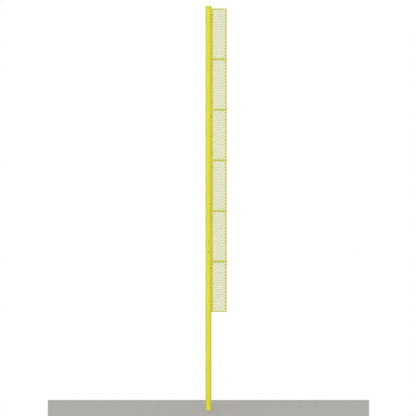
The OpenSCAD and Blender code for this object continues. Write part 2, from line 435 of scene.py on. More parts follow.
def on_panel(source, name, i, y, up):
    """A copy of a piece on the middle line of a panel, some way up from the panel's bottom edge."""
    return copied(source, f"{name}_{i}", at(WING_X + PANEL_W / 2, y, panel_z(i) + up))


def gathered(name, pieces):
    """Joins pieces into one."""
    take(*pieces)
    if len(pieces) > 1:
        bpy.ops.object.join()
    piece = bpy.context.object
    piece.name = piece.data.name = name
    return piece


def set_of(source, name, places):
    """One piece that holds a copy of the source at each place."""
    piece = gathered(name, [copied(source, name, place) for place in places])
    thrown_away(source)
    return piece


def finished(piece, body, material, nodes=(), angle=35):
    """Shades a piece, coats it, ties it to its body, and hides the CAD nodes it stands for."""
    take(piece)
    bpy.ops.object.shade_smooth_by_angle(angle=radians(angle))
    # Big faces set the shading, so that they look flat up to their rounded edges
    applied(piece, "WEIGHTED_NORMAL", keep_sharp=True)
    piece.data.materials.clear()
    piece.data.materials.append(material)
    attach(piece, body)
    if nodes:
        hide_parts(*nodes)
    return piece


def at(x, y, z):
    """A move to a place."""
    return Matrix.Translation((x, y, z))


def turned(degrees, axis):
    """A turn about an axis through the origin."""
    return Matrix.Rotation(radians(degrees), 4, axis)


# Turns a piece that points up so that it points to the back
TO_BACK = turned(-90, "X")


# ---------- bolts, nuts, washers and welds ----------

# Sizes of bolts, nuts and washers, as shares of the bolt's diameter
HEAD_ACROSS, HEAD_HIGH, NUT_HIGH, BOLT_PAST = 1.5, 0.63, 0.88, 0.35
WASHER_RADIUS, WASHER_THICK = 1.08, 0.2
PITCH, ROOT, CREST = 0.16, 0.44, 0.5
# Small turns that keep the facets of a turned shape off the corners of a hexagon
BLANK_TURN, THREAD_TURN = 0.04, 0.065


def add_hex_blank(name, d, bottom, top, ends):
    """A hexagon with the corners of its lower (-1) or upper (1) ends turned to a chamfer."""
    flat = HEAD_ACROSS * d / 2
    corner = flat / cos(radians(30))
    # The turned blank runs past the hexagon at both ends, so that no two faces lie together
    chamfer = tan(radians(30))
    outer, point, past = 1.05 * corner, 0.95 * flat, 0.04 * d
    climb = (outer - point) * chamfer
    pointed = point - past / chamfer
    stations = [(bottom - past, pointed), (bottom + climb, outer)] if -1 in ends else [(bottom - past, outer)]
    stations += [(top - climb, outer), (top + past, pointed)] if 1 in ends else [(top + past, outer)]
    blank = add_rod(name, 6, corner, bottom, top)
    return cut(blank, add_turned("turned_blank", stations, 48, BLANK_TURN), "INTERSECT")


def add_hex_bolt(name, d, grip):
    """A hex bolt along Z: its head ends at 0, and its thread starts just before the grip ends."""
    pitch, root, crest = PITCH * d, ROOT * d, CREST * d
    end = grip + NUT_HIGH * d + BOLT_PAST * d
    stations = [(-HEAD_HIGH * d / 2, crest), (grip - pitch, crest)]
    height = grip - pitch
    while height + 2 * pitch < end:
        stations += [(height + pitch / 2, root), (height + pitch, crest)]
        height += pitch
    # The tip of the thread is chamfered
    stations += [(end - 0.06 * d, 0.47 * d), (end, 0.41 * d)]
    head = add_hex_blank(name, d, -HEAD_HIGH * d, 0, (-1,))
    return cut(head, add_turned("shank", stations, 24, THREAD_TURN), "UNION")


def add_hex_nut(name, d, clearance):
    """A hex nut standing on 0, chamfered at both ends, with a countersunk bore."""
    top, bore, sink = NUT_HIGH * d, d / 2 + clearance, 0.05 * d
    blank = add_hex_blank(name, d, 0, top, (-1, 1))
    stations = [(-sink, bore + 2 * sink), (sink, bore), (top - sink, bore), (top + sink, bore + 2 * sink)]
    return cut(blank, add_turned("bore", stations, 24, THREAD_TURN))


def add_washer(name, d, clearance):
    """A flat washer standing on 0, with eased edges."""
    thickness = WASHER_THICK * d
    return add_tube(name, WASHER_RADIUS * d, d / 2 + clearance, 0, thickness, 0.1 * thickness, 32)


def add_bead(name, long, radius, ripple, sides=8):
    """A weld bead along Z round the origin, with its ripples and run-out ends."""
    count = max(1, round(long / ripple))
    step = long / count
    run_out, valley = 0.35 * radius, 0.86 * radius
    stations = [(-long / 2, run_out)]
    for i in range(count):
        start = i * step - long / 2
        stations += [(start + 0.3 * step, radius), (start + 0.8 * step, valley)]
    stations.append((long / 2, run_out))
    return add_turned(name, stations, sides)


def ring_bead(name, radius, bead, height, ripples):
    """A weld bead all round a tube, with its ripples."""
    take()
    counts = {"major_segments": 2 * ripples, "minor_segments": 8}
    sizes = {"major_radius": radius, "minor_radius": bead}
    bpy.ops.mesh.primitive_torus_add(location=(0, 0, height), **counts, **sizes)
    piece = started(name)
    open_mesh(piece)
    valley = radians(360 / ripples)

    def in_valley(vertex):
        turns = (Vector((1, 0)).angle_signed(vertex.co.xy) % valley) / valley
        return near(turns, 0.5, 0.1)

    choose("VERT", in_valley)
    bpy.ops.transform.shrink_fatten(value=-0.16 * bead)
    close_mesh()
    return piece


# ---------- materials ----------


def add_node(tree, kind, sockets=None, **fields):
    """Adds a node, sets its fields, and links or sets its sockets."""
    node = tree.nodes.new(kind)
    for field, value in fields.items():
        setattr(node, field, value)
    for socket, value in (sockets or {}).items():
        if isinstance(value, Flow):
            tree.links.new(value.socket, node.inputs[socket])
        else:
            node.inputs[socket].default_value = value
    return node


class Flow:
    """A value in a shader tree, which sums and products can be made of."""

    def __init__(self, socket):
        self.socket, self.tree = socket, socket.id_data

    def reckon(self, operation, *others):
        """A Math node's result."""
        node = add_node(self.tree, "ShaderNodeMath", dict(enumerate((self, *others))), operation=operation)
        return Flow(node.outputs[0])

    __add__, __sub__ = partialmethod(reckon, "ADD"), partialmethod(reckon, "SUBTRACT")
    __mul__, __truediv__ = partialmethod(reckon, "MULTIPLY"), partialmethod(reckon, "DIVIDE")
    __mod__, __abs__ = partialmethod(reckon, "FLOORED_MODULO"), partialmethod(reckon, "ABSOLUTE")


def mapped(value, low_in, high_in, low_out=0.0, high_out=1.0, kind="SMOOTHSTEP"):
    """A value taken from one range to another."""
    sockets = {"Value": value, "From Min": low_in, "From Max": high_in, "To Min": low_out, "To Max": high_out}
    return Flow(add_node(value.tree, "ShaderNodeMapRange", sockets, interpolation_type=kind).outputs[0])


def left_over(value):
    """What a value leaves of 1."""
    return mapped(value, 0.0, 1.0, 1.0, 0.0, "LINEAR")


def noise(place, scale, detail=2.0, roughness=0.5):
    """A noise that is the same in every run."""
    sockets = {"Vector": place, "Scale": scale, "Detail": detail, "Roughness": roughness}
    return Flow(add_node(place.tree, "ShaderNodeTexNoise", sockets).outputs["Fac"])


def patches(place, scale, detail, roughness, low, high, least=0.0, most=1.0):
    """A noise that is spread out from least to most."""
    return mapped(noise(place, scale, detail, roughness), low, high, least, most)


def parted(place):
    """The X, Y and Z of a vector."""
    return [Flow(part) for part in add_node(place.tree, "ShaderNodeSeparateXYZ", {0: place}).outputs]


def blended(amount, first, second):
    """Two colours mixed by an amount."""
    sockets = {"Factor": amount, "A": first, "B": second}
    return Flow(add_node(amount.tree, "ShaderNodeMix", sockets, data_type="RGBA").outputs[2])


def shared(outputs, **defaults):
    """Makes a shader group of a function, once, and places it in each tree that asks for it."""

    def wrapped(reckoned):
        name = reckoned.__name__.replace("_", " ").title()

        def made():
            tree = bpy.data.node_groups.new(name, "ShaderNodeTree")
            tree.interface.new_socket(name="place", in_out="INPUT", socket_type="NodeSocketVector")
            for socket, default in defaults.items():
                new = tree.interface.new_socket(name=socket, in_out="INPUT", socket_type="NodeSocketFloat")
                new.default_value = default
            for socket in outputs:
                tree.interface.new_socket(name=socket, in_out="OUTPUT", socket_type="NodeSocketFloat")
            given = tree.nodes.new("NodeGroupInput").outputs
            results = reckoned(**{socket.name: Flow(socket) for socket in given if socket.name})
            add_node(tree, "NodeGroupOutput", dict(zip(outputs, results)))
            return tree

        def placed(place, **sockets):
            tree = bpy.data.node_groups.get(name) or made()
            node = add_node(place.tree, "ShaderNodeGroup", {"place": place, **sockets}, node_tree=tree)
            return [Flow(node.outputs[socket]) for socket in outputs]

        return placed

    return wrapped


@shared(("Height", "Drift"), peel=300.0, slow=1.1)
def coat_skin(place, peel, slow):
    """Orange peel of a sprayed and baked coat, and the slow drift of its tone."""
    height = noise(place, peel * 5.0, 0.0) * 0.12 + noise(place, peel, 1.0)
    return height, patches(place, slow, 4.0, 0.6, 0.3, 0.7)


@shared(("Streak",), across=55.0, down=1.3)
def rain_streaks(place, across, down):
    """Long thin marks that rain leaves down an upright face."""
    stretch = add_node(place.tree, "ShaderNodeCombineXYZ", {"X": across, "Y": across, "Z": down})
    sockets = {0: place, 1: Flow(stretch.outputs[0])}
    spread = Flow(add_node(place.tree, "ShaderNodeVectorMath", sockets, operation="MULTIPLY").outputs[0])
    return (patches(spread, 1.0, 3.0, 0.55, 0.5, 0.8) * patches(place, 0.8, 2.0, 0.5, 0.38, 0.62),)


@shared(("Splash",), reach=0.5)
def ground_splash(place, reach):
    """Dust splashed up from the ground, thinning out with height."""
    ragged = reach * patches(place, 14.0, 5.0, 0.6, 0.25, 0.75, 0.15)
    specks = patches(place, 160.0, 3.0, 0.5, 0.4, 0.6, 0.35)
    return (left_over(parted(place)[2] / ragged) * specks,)


@shared(("Weep",), bolt_x=0.0, bolt_z=0.0, spacing=1.0, half_width=0.012, run=0.3)
def bolt_weep(place, bolt_x, bolt_z, spacing, half_width, run):
    """Runs of dark stain below bolts that sit one above another at a regular spacing."""
    x, _, z = parted(place)
    # A run wanders to either side as it goes down
    wander = noise(place, 9.0) * 0.008 - 0.004
    across = mapped(abs(x + wander - bolt_x) / half_width, 0.25, 1.0, 1.0, 0.0)
    down = mapped((bolt_z - z) % spacing / run, 0.05, 1.0, 1.0, 0.0)
    return (across * down * patches(place, 120.0, 2.0, 0.5, 0.3, 0.6, 0.3),)


@shared(("Lip Shadow",), top=0.0, drop=0.04)
def lip_shadow_ring(place, top, drop):
    """Painted shadow in a ring round a tube, below a height, ragged along its lower edge."""
    below = top - parted(place)[2]
    ragged = drop * patches(place, 60.0, 4.0, 0.6, 0.3, 0.7, 0.35)
    return (mapped(below, -0.003, 0.006) * mapped(below / ragged, 0.3, 1.0, 1.0, 0.0),)


@shared(("Dirt And Top Shade",))
def settled_dirt_and_top_shade(place):
    """Darkens faces that look up, in patches: partly settled grit, partly a painted shade where light from
    above falls on them.
    """
    facing = Flow(place.tree.nodes.new("ShaderNodeNewGeometry").outputs["Normal"])
    return (mapped(parted(facing)[2], 0.45, 0.95) * patches(place, 24.0, 4.0, 0.6, 0.3, 0.7, 0.35),)


@shared(("Rust",))
def flaking_paint(place):
    """Patches where rust has come through the paint."""
    return (patches(place, 110.0, 5.0, 0.65, 0.32, 0.48),)


@shared(("Soil",))
def clinging_soil(place):
    """Soil that clings in patches to what stands below the ground."""
    under = mapped(parted(place)[2], -0.2, -0.04, 1.0, 0.0)
    return (under * patches(place, 11.0, 6.0, 0.68, 0.44, 0.64, 0.1),)


@shared(("Tone", "Bloom"), crystals=90.0)
def zinc_spangle(place, crystals):
    """Crystals of a hot-dipped zinc skin, each with a tone of its own, and patches of dull bloom."""
    swirl = add_node(place.tree, "ShaderNodeTexNoise", {"Vector": place, "Scale": 60.0}).outputs["Color"]
    sockets = {0: Flow(swirl), 1: (0.006, 0.006, 0.006), 2: place}
    bent = Flow(add_node(place.tree, "ShaderNodeVectorMath", sockets, operation="MULTIPLY_ADD").outputs[0])
    cells = add_node(place.tree, "ShaderNodeTexVoronoi", {"Vector": bent, "Scale": crystals})
    return parted(Flow(cells.outputs["Color"]))[0], patches(place, 7.0, 5.0, 0.65, 0.42, 0.75)


def new_material(name):
    """An empty material: itself and the coordinates of its piece."""
    material = bpy.data.materials.new(name)
    material.use_nodes = True
    tree = material.node_tree
    tree.nodes.clear()
    return material, Flow(tree.nodes.new("ShaderNodeTexCoord").outputs["Object"])


def surfaced(material, colours, rough, height, distance, metal=0.0):
    """Ends a material with its bump, its shader and its output."""
    tree = material.node_tree
    bump = add_node(tree, "ShaderNodeBump", {"Height": height, "Distance": distance, "Strength": 1.0})
    sockets = {"Base Color": colours, "Roughness": rough, "Metallic": metal, "Normal": Flow(bump.outputs[0])}
    shader = add_node(tree, "ShaderNodeBsdfPrincipled", sockets)
    add_node(tree, "ShaderNodeOutputMaterial", {"Surface": Flow(shader.outputs[0])})
    return material


def tinted(base, by=1):
    """A colour made lighter or darker, for a node's socket."""
    return (*(min(1, part * by) for part in base), 1)


# How strongly each kind of wear, and the painted shadow under the cap's lip and the painted shade on faces
# that look up, covers a coat, and how much rougher dirt, soil and rust make it
WEEP, LIP_SHADOW, DUST, DIRT_AND_TOP_SHADE, SOIL = 0.35, 0.24, 0.05, 0.3, 0.28
DIRTY, SOILED, RUSTY = 0.3, 0.3, 0.4
# How far a coat's tone and its roughness drift, and the depth of its orange peel
TONE_DRIFT, ROUGHNESS_DRIFT, PEEL_DEPTH = 0.03, 0.05, 0.00006


def coat_material(name, base, weep=None, lip_shadow=None, streaks=0.16, rusted=0.0, buried=False):
    """Powder coat that has stood outdoors: drift of tone, rain streaks, rust and soil, faces that look up
    darkened partly by settled grit and partly as painted shade, and a painted shadow ring where one is given.
    """
    if name in bpy.data.materials:
        return bpy.data.materials[name]
    looks = bpy.context.scene.foul_pole_finishes
    material, place = new_material(name)
    height, drift = coat_skin(place)
    (streak,), (dirt_and_top_shade,) = rain_streaks(place), settled_dirt_and_top_shade(place)
    (splash,) = ground_splash(place, reach=looks.splash_reach)
    layers = [(streak * streaks, looks.grime)]
    if weep:
        layers.append((bolt_weep(place, **weep)[0] * WEEP, looks.grime))
    if lip_shadow:
        # A painted shadow, where one is given, in the same dark colour as the rain streaks
        layers.append((lip_shadow_ring(place, **lip_shadow)[0] * LIP_SHADOW, looks.grime))
    # Dust near the ground, and faces that look up darkened: partly settled dirt, partly painted shade
    layers += [(splash * DUST, looks.dust), (dirt_and_top_shade * DIRT_AND_TOP_SHADE, looks.grime)]
    smoothest, roughest = looks.coat_roughness - ROUGHNESS_DRIFT, looks.coat_roughness + ROUGHNESS_DRIFT
    rough = splash.reckon("MAXIMUM", dirt_and_top_shade) * DIRTY + mapped(drift, 0, 1, smoothest, roughest)
    if buried:
        (cling,) = clinging_soil(place)
        layers.append((cling * SOIL, looks.soil))
        rough = cling * SOILED + rough
    if rusted:
        flakes = flaking_paint(place)[0] * rusted
        layers.append((flakes, looks.rust))
        rough = flakes * RUSTY + rough
    colours = blended(drift, tinted(base, 1 - TONE_DRIFT), tinted(base, 1 + TONE_DRIFT))
    for amount, layer in layers:
        colours = blended(amount, colours, tinted(layer))
    return surfaced(material, colours, rough, height, PEEL_DEPTH)


def pole_coat():
    """Coat of the pole, with runs below the bolts of its joint, soil below the ground, and a painted shadow
    under the cap's lip.
    """
    looks, width = bpy.context.scene.foul_pole_finishes, bpy.context.scene.foul_pole_sizes.saddle_width
    run = high("splice_saddles").z - low("splice_saddles").z
    weep = {"bolt_z": high("splice_saddles").z - width, "spacing": 40.0, "half_width": 0.014, "run": run}
    # A ring of painted shadow under the cap's lip, from the lower part of its skirt down onto the pole
    lip_shadow = {"top": low("pole_cap").z + 0.012, "drop": 0.05}
    return coat_material("pole powder coat", looks.pole_yellow, weep, lip_shadow, buried=True)


def worn_coat():
    """Coat of the joint's bolts and nuts, with rust coming through it."""
    return coat_material("worn powder coat", bpy.context.scene.foul_pole_finishes.pole_yellow, rusted=0.8)


def frame_coat():
    """Coat of the frames, with runs below the tab bolts."""
    looks, bolt_z = bpy.context.scene.foul_pole_finishes, middle_of("upper_tab_1").z
    weep = {"bolt_x": TAB_BOLT_X, "bolt_z": bolt_z, "spacing": PANEL_H, "half_width": 0.008, "run": 0.22}
    return coat_material("frame powder coat", looks.frame_yellow, weep)


def mesh_coat():
    """Coat of the mesh, in a yellow darkened to paint in the shade that falls on its strands."""
    return coat_material("mesh powder coat", bpy.context.scene.foul_pole_finishes.mesh_yellow, streaks=0.22)


# How much bloom pales zinc and roughens it, how far the crystals' roughness drifts, and their depth
BLOOM, BLOOMED, CRYSTAL_DRIFT, CRYSTAL_DEPTH = 0.35, 0.22, 0.07, 0.00008
BLOOM_GREY = (0.5, 0.5, 0.48)


def zinc_material(name, base, crystals, spread, roughness, buried=False):
    """Bare zinc: spangle, dull bloom and faint unevenness, and soil if it stands in the ground, which on
    faces that look up is partly painted shade.
    """
    if name in bpy.data.materials:
        return bpy.data.materials[name]
    material, place = new_material(name)
    tone, bloom = zinc_spangle(place, crystals=crystals)
    height = coat_skin(place, peel=180.0, slow=3.0)[0]
    colours = blended(tone, tinted(base, 1 - spread), tinted(base, 1 + spread))
    colours = blended(bloom * BLOOM, colours, tinted(BLOOM_GREY))
    rough = bloom * BLOOMED + mapped(tone, 0, 1, roughness - CRYSTAL_DRIFT, roughness + CRYSTAL_DRIFT)
    metal = 1.0
    if buried:
        cling = patches(place, 16.0, 6.0, 0.7, 0.45, 0.62, 0.0, 0.75)
        # Faces that look up take the soil colour too, partly as painted shade
        cling = cling.reckon("MAXIMUM", settled_dirt_and_top_shade(place)[0])
        colours = blended(cling, colours, tinted(bpy.context.scene.foul_pole_finishes.soil))
        rough = (cling * 0.4 + rough).reckon("MINIMUM", 1.0)
        metal = left_over(cling)
    return surfaced(material, colours, rough, height, CRYSTAL_DEPTH, metal)


def galvanised(name="galvanised steel", buried=False):
    """Hot-dip galvanised steel, clean as on the inner sleeve unless it is buried."""
    return zinc_material(name, bpy.context.scene.foul_pole_finishes.galvanised, 90.0, 0.16, 0.45, buried)


def buried_steel():
    """Hot-dip galvanised steel of the ground sleeve, with soil on it, partly painted shade on faces that look
    up.
    """
    return galvanised("buried steel", buried=True)


def zinc_plate():
    """Zinc plate of the bolts, nuts and washers."""
    return zinc_material("zinc plate", bpy.context.scene.foul_pole_finishes.zinc, 900.0, 0.07, 0.38)


# ---------- the operators, one for each group of pieces ----------


class FOULPOLE_OT_ground_sleeve(Operator):
    """Models the ground sleeve with its base plate, guide rings and welds"""

    bl_idname = "foul_pole.ground_sleeve"
    bl_label = "Ground Sleeve"

    def execute(self, context):
        sizes = context.scene.foul_pole_sizes
        radius = high("ground_sleeve").x
        bore, bead, ring_tack = radius - sizes.sleeve_wall, 0.0022, 0.0024
        sleeve_rim, ring_rim = 0.0016, 0.0024
        for name, node, inner, rim in (
            ("socket_sleeve", "ground_sleeve", bore, sleeve_rim),
            ("socket_base_plate", "sleeve_base_plate", sizes.drain_radius, sleeve_rim),
            ("socket_upper_ring", "upper_guide_ring", sizes.ring_bore, ring_rim),
            ("socket_lower_ring", "lower_guide_ring", sizes.ring_bore, ring_rim),
        ):
            piece = add_tube(name, high(node).x, inner, low(node).z, high(node).z, rim, sizes.sides)
            finished(piece, SOCKET, buried_steel(), [node])
        # The base weld lies in the groove between the sleeve and its plate
        seam = ring_bead("socket_base_weld", radius - bead, bead, low("ground_sleeve").z, ripples=150)
        finished(seam, SOCKET, buried_steel())
        tack = add_bead("tack", 0.016, ring_tack, ripple=0.004)
        tack.data.transform(TO_BACK)
        heights = (high("upper_guide_ring").z, low("upper_guide_ring").z, high("lower_guide_ring").z)
        places = [turned(60 * i, "Z") @ at(bore, 0, height) for i in range(6) for height in heights]
        tacks = set_of(tack, "socket_ring_tacks", places)
        finished(tacks, SOCKET, buried_steel())
        return {"FINISHED"}


class FOULPOLE_OT_pole_sections(Operator):
    """Models the two sections of the pole, drilled for the joint's bolts"""

    bl_idname = "foul_pole.pole_sections"
    bl_label = "Pole Sections"

    def execute(self, context):
        sizes, bolts = context.scene.foul_pole_sizes, context.scene.foul_pole_hardware
        inner, ring = sizes.radius - sizes.wall, 0.016
        for half, hole_z in zip(("lower", "upper"), joint_heights(sizes)):
            node, name = f"{half}_pole", f"pole_section_{half}"
            bottom, top = low(node).z, high(node).z
            section = add_tube(name, sizes.radius, inner, bottom, top, sizes.rim_round, sizes.sides)
            open_mesh(section)
            # Short rings round the holes keep the long faces whole
            for ring_z in (hole_z - ring, hole_z + ring):
                sliced((0, 0, ring_z), (0, 0, 1))
            close_mesh(recalculate=False)
            drilled(section, [at(0, 0, hole_z) @ TO_BACK], bolts.splice_bolt / 2 + bolts.bolt_clear)
            finished(section, POLE, pole_coat(), [node])
        return {"FINISHED"}


class FOULPOLE_OT_pole_cap(Operator):
    """Models the pressed cap with its domed crown, rounded shoulder and rolled lip"""

    bl_idname = "foul_pole.pole_cap"
    bl_label = "Pole Cap"

    def execute(self, context):
        sizes = context.scene.foul_pole_sizes
        radius, round_off = sizes.cap_radius, sizes.cap_shoulder
        crown_z, skirt_z = high("pole_cap").z, low("pole_cap").z
        rise = crown_z - high("upper_pole").z - sizes.cap_wall
        ball = (radius**2 + rise**2) / (2 * rise)
        ball_z = crown_z - ball
        # The shoulder's arc touches the crown's ball and the upright skirt
        shoulder_r = radius - round_off
        shoulder_z = ball_z + sqrt((ball - round_off) ** 2 - shoulder_r**2)
        meeting = atan2(shoulder_z - ball_z, shoulder_r)
        crown_r = shoulder_r + round_off * cos(meeting)
        rings = [crown_r * step / 12 for step in range(1, 12)]
        stations = [(ball_z + sqrt(ball**2 - ring**2), ring) for ring in rings]
        for step in range(6):
            angle = meeting * (1 - step / 5)
            stations.append((shoulder_z + round_off * sin(angle), shoulder_r + round_off * cos(angle)))
        # The skirt ends in a lip that is rolled outwards
        for step in range(7):
            ring = radius + sizes.lip_proud * sin(step / 6 * pi)
            stations.append((skirt_z + sizes.lip_height * (1 - step / 6), ring))
        cap = add_turned_skin("pole_cap_shell", crown_z, stations, sizes.sides)
        applied(cap, "SOLIDIFY", thickness=sizes.cap_wall, offset=-1, use_even_offset=True)
        finished(cap, POLE, pole_coat(), ["pole_cap"], angle=50)
        return {"FINISHED"}


def joint_heights(sizes):
    """Heights of the two bolts of the pole's joint."""
    upper = high("splice_saddles").z - sizes.saddle_width / 2
    return 2 * high("lower_pole").z - upper, upper


class FOULPOLE_OT_pole_joint(Operator):
    """Models the joint between the sections: inner sleeve, saddle blocks, through bolts and nuts"""

    bl_idname = "foul_pole.pole_joint"
    bl_label = "Pole Joint"

    def execute(self, context):
        sizes, bolts = context.scene.foul_pole_sizes, context.scene.foul_pole_hardware
        width, d = sizes.saddle_width, bolts.splice_bolt
        bottom, top = low("splice_sleeve").z, high("splice_sleeve")
        face = high("splice_saddles").y
        hole = d / 2 + bolts.bolt_clear
        heights = joint_heights(sizes)

        inner = top.x - sizes.joint_wall
        sleeve = add_tube("joint_inner_sleeve", top.x, inner, bottom, top.z, 0.003, sizes.sides)
        drilled(sleeve, [at(0, 0, height) @ TO_BACK for height in heights], hole)
        finished(sleeve, POLE, galvanised(), ["splice_sleeve"])

        # A saddle block: its outer face is flat, and its inner face is coped to the pole
        start = 0.06
        saddle = add_block("saddle", (0, -(face + start) / 2, 0), (width, face - start, width))
        applied(saddle, "BEVEL", width=0.0016, segments=3, limit_method="ANGLE")
        cut(saddle, add_turned("cope", [(-width, sizes.radius), (width, sizes.radius)], sizes.sides))
        drilled(saddle, [TO_BACK], hole)

        # The through bolts were painted over with the pole
        bolt, nut = add_hex_bolt("bolt", d, 2 * face), add_hex_nut("nut", d, bolts.thread_clear)
        for name, source, places, coat, node, angle in (
            ("joint_saddle_blocks", saddle, (Matrix(), turned(180, "Z")), pole_coat, "splice_saddles", 35),
            ("joint_through_bolts", bolt, (at(0, -face, 0) @ TO_BACK,), worn_coat, "splice_bolts", 25),
            ("joint_nuts", nut, (at(0, face, 0) @ TO_BACK,), worn_coat, "splice_nuts", 25),
        ):
            piece = set_of(source, name, [at(0, 0, z) @ place for z in heights for place in places])
            finished(piece, POLE, coat(), [node], angle)
        return {"FINISHED"}


def add_mitred_tube(name, long, width, across, wing):
    """A tube up Z, mitred to meet tubes of width across: its long side is at x = 0."""
    spare = 0.01
    piece = add_block(name, (width / 2, 0, long / 2), (width, TUBE, long + 2 * spare))
    open_mesh(piece)
    choose("FACE", lambda face: abs(face.normal.z) > 0.9)
    bpy.ops.mesh.delete(type="ONLY_FACE")
    choose("EDGE", lambda edge: not level(edge))
    bpy.ops.mesh.bevel(offset=wing.tube_corner, segments=4, affect="EDGES")
    close_mesh()
    applied(piece, "SOLIDIFY", thickness=wing.tube_wall, offset=-1, use_even_offset=True)
    open_mesh(piece)
    for end, up in ((0, width), (long, -width)):
        sliced((0, 0, end), (-across, 0, up), use_fill=True, clear_inner=True)
    close_mesh()
    return piece


class FOULPOLE_OT_wing_frames(Operator):
    """Models the mitred tubes of the wing's frames"""

    bl_idname = "foul_pole.wing_frames"
    bl_label = "Wing Frames"

    def execute(self, context):
        wing, bolts = context.scene.foul_pole_wing, context.scene.foul_pole_hardware
        bolt_y = middle_of("panel_washers").y
        tab_hole, panel_hole = (d / 2 + bolts.bolt_clear for d in (bolts.tab_bolt, bolts.panel_bolt))
        down, up = turned(90, "Y"), turned(-90, "Y")

        # A stile or a rail that nothing is bolted to stays whole, and the others are drilled
        stile = add_mitred_tube("stile", PANEL_H, STILE, TUBE, wing)
        tab_places = [at(STILE / 2, 0, z - panel_z(1)) @ TO_BACK for z in TAB_HEIGHTS[:2]]
        drilled_stile = drilled(copied(stile, "stile_drilled", Matrix()), tab_places, tab_hole)
        rail = add_mitred_tube("rail", PANEL_W, TUBE, STILE, wing)
        insets = (bolts.panel_bolt_inset, PANEL_W - bolts.panel_bolt_inset)
        bolt_places = [at(0, bolt_y, z) @ down for z in insets]
        drilled_rail = drilled(copied(rail, "rail_drilled", Matrix()), bolt_places, panel_hole)
        # Turning a rail over keeps its holes on the same side, because they are drilled through
        left, right = at(WING_X, 0, 0), at(WING_X + PANEL_W, 0, 0)
        for i in PANELS:
            bottom, top = at(0, 0, panel_z(i)), at(0, 0, panel_z(i) + PANEL_H)
            top_rail = rail if i == PANELS[-1] else drilled_rail
            bottom_rail = rail if i == PANELS[0] else drilled_rail
            for name, source, place, node in (
                ("stile_inner", drilled_stile, left @ bottom, "inner_stile"),
                ("stile_outer", stile, right @ bottom @ turned(180, "Z"), "outer_stile"),
                ("rail_top", top_rail, left @ top @ down, "top_rail"),
                ("rail_bottom", bottom_rail, right @ bottom @ up, "bottom_rail"),
            ):
                piece = copied(source, f"{name}_{i}", place)
                finished(piece, POLE, frame_coat(), [f"{node}_{i}"])
        thrown_away(stile, drilled_stile, rail, drilled_rail)
        return {"FINISHED"}


class FOULPOLE_OT_wing_mesh(Operator):
    """Models the raised expanded mesh of one panel, and copies it to the others"""

    bl_idname = "foul_pole.wing_mesh"
    bl_label = "Wing Mesh"

    def execute(self, context):
        wing = context.scene.foul_pole_wing
        a, b, w = wing.pitch_x, wing.pitch_z, wing.bond_half
        half_bond, lean = wing.bond / 2, wing.rise
        # One bond, where two strands meet, leans from left to right
        net = add_sheet("net", w, half_bond)
        open_mesh(net)
        sliced((0, 0, 0), (1, 0, 0))
        for side in (-1, 1):
            choose("VERT", lambda vertex: near(vertex.co.x, side * w))
            bpy.ops.transform.translate(value=(0, side * lean, 0))
        # A strand leaves each half of its top edge, widens, climbs, and narrows into the next bond
        run, climb = a / 2 - wing.strand, b / 2 - wing.bond - 2 * wing.fork
        for side in (-1, 1):
            spot = Vector((side * w / 2, 0, half_bond))
            choose("EDGE", lambda edge: level(edge) and near((middle(edge) - spot).xz.length, 0))
            for step, widening, pivot in (
                ((0, 0, wing.fork), wing.strand / w, 0),
                ((side * run, -side * lean, climb), 1, 0),
                ((0, 0, wing.fork), w / wing.strand, side * a / 2),
            ):
                bpy.ops.mesh.extrude_region_move(TRANSFORM_OT_translate={"value": step})
                bpy.ops.transform.resize(value=(widening, 1, 1), center_override=(pivot, 0, 0))
        close_mesh(recalculate=False)
        # Rows and columns that run past the frame, then the rows between them
        columns, rows = 2 * (2 + int(PANEL_W / a / 2)), 2 + int(PANEL_H / b)
        net.data.transform(at((0.5 - columns / 2) * a + wing.shift, 0, -(rows - 1) * b))
        steps = {"use_relative_offset": False, "use_constant_offset": True}
        for count, offset in ((columns, (a, 0, 0)), (rows, (0, 0, b))):
            applied(net, "ARRAY", count=count, constant_offset_displace=offset, **steps)
        open_mesh(net)
        bpy.ops.mesh.select_all(action="SELECT")
        bpy.ops.mesh.duplicate_move(TRANSFORM_OT_translate={"value": (a / 2, 0, b / 2)})
        bpy.ops.mesh.select_all(action="SELECT")
        bpy.ops.mesh.remove_doubles(threshold=0.0002)
        # The sheet is trimmed just inside the walls of the frame
        half = PANEL_W / 2 - STILE + EMBED
        for place, outwards in (
            ((half, 0, 0), (1, 0, 0)),
            ((-half, 0, 0), (-1, 0, 0)),
            ((0, 0, EMBED - TUBE), (0, 0, 1)),
            ((0, 0, TUBE - EMBED - PANEL_H), (0, 0, -1)),
        ):
            sliced(place, outwards, clear_outer=True)
        close_mesh()
        applied(net, "SOLIDIFY", thickness=wing.gauge, offset=0, use_even_offset=True)
        applied(net, "BEVEL", width=0.0004, segments=1, limit_method="ANGLE", angle_limit=radians(50))
        # A flat strip runs all round the sheet
        strip = add_sheet("strip", half, PANEL_H / 2 - TUBE + EMBED)
        open_mesh(strip)
        bpy.ops.mesh.select_all(action="SELECT")
        bpy.ops.transform.translate(value=(0, 0, -PANEL_H / 2))
        bpy.ops.mesh.inset(thickness=wing.edge + EMBED)
        bpy.ops.mesh.delete(type="FACE")
        close_mesh(recalculate=False)
        applied(strip, "SOLIDIFY", thickness=wing.gauge, offset=0)
        net = gathered("net", [net, strip])
        for i in PANELS:
            piece = on_panel(net, "wing_net", i, middle_of("mesh_1").y, PANEL_H)
            finished(piece, POLE, mesh_coat(), [f"mesh_{i}"], angle=40)
        thrown_away(net)
        return {"FINISHED"}


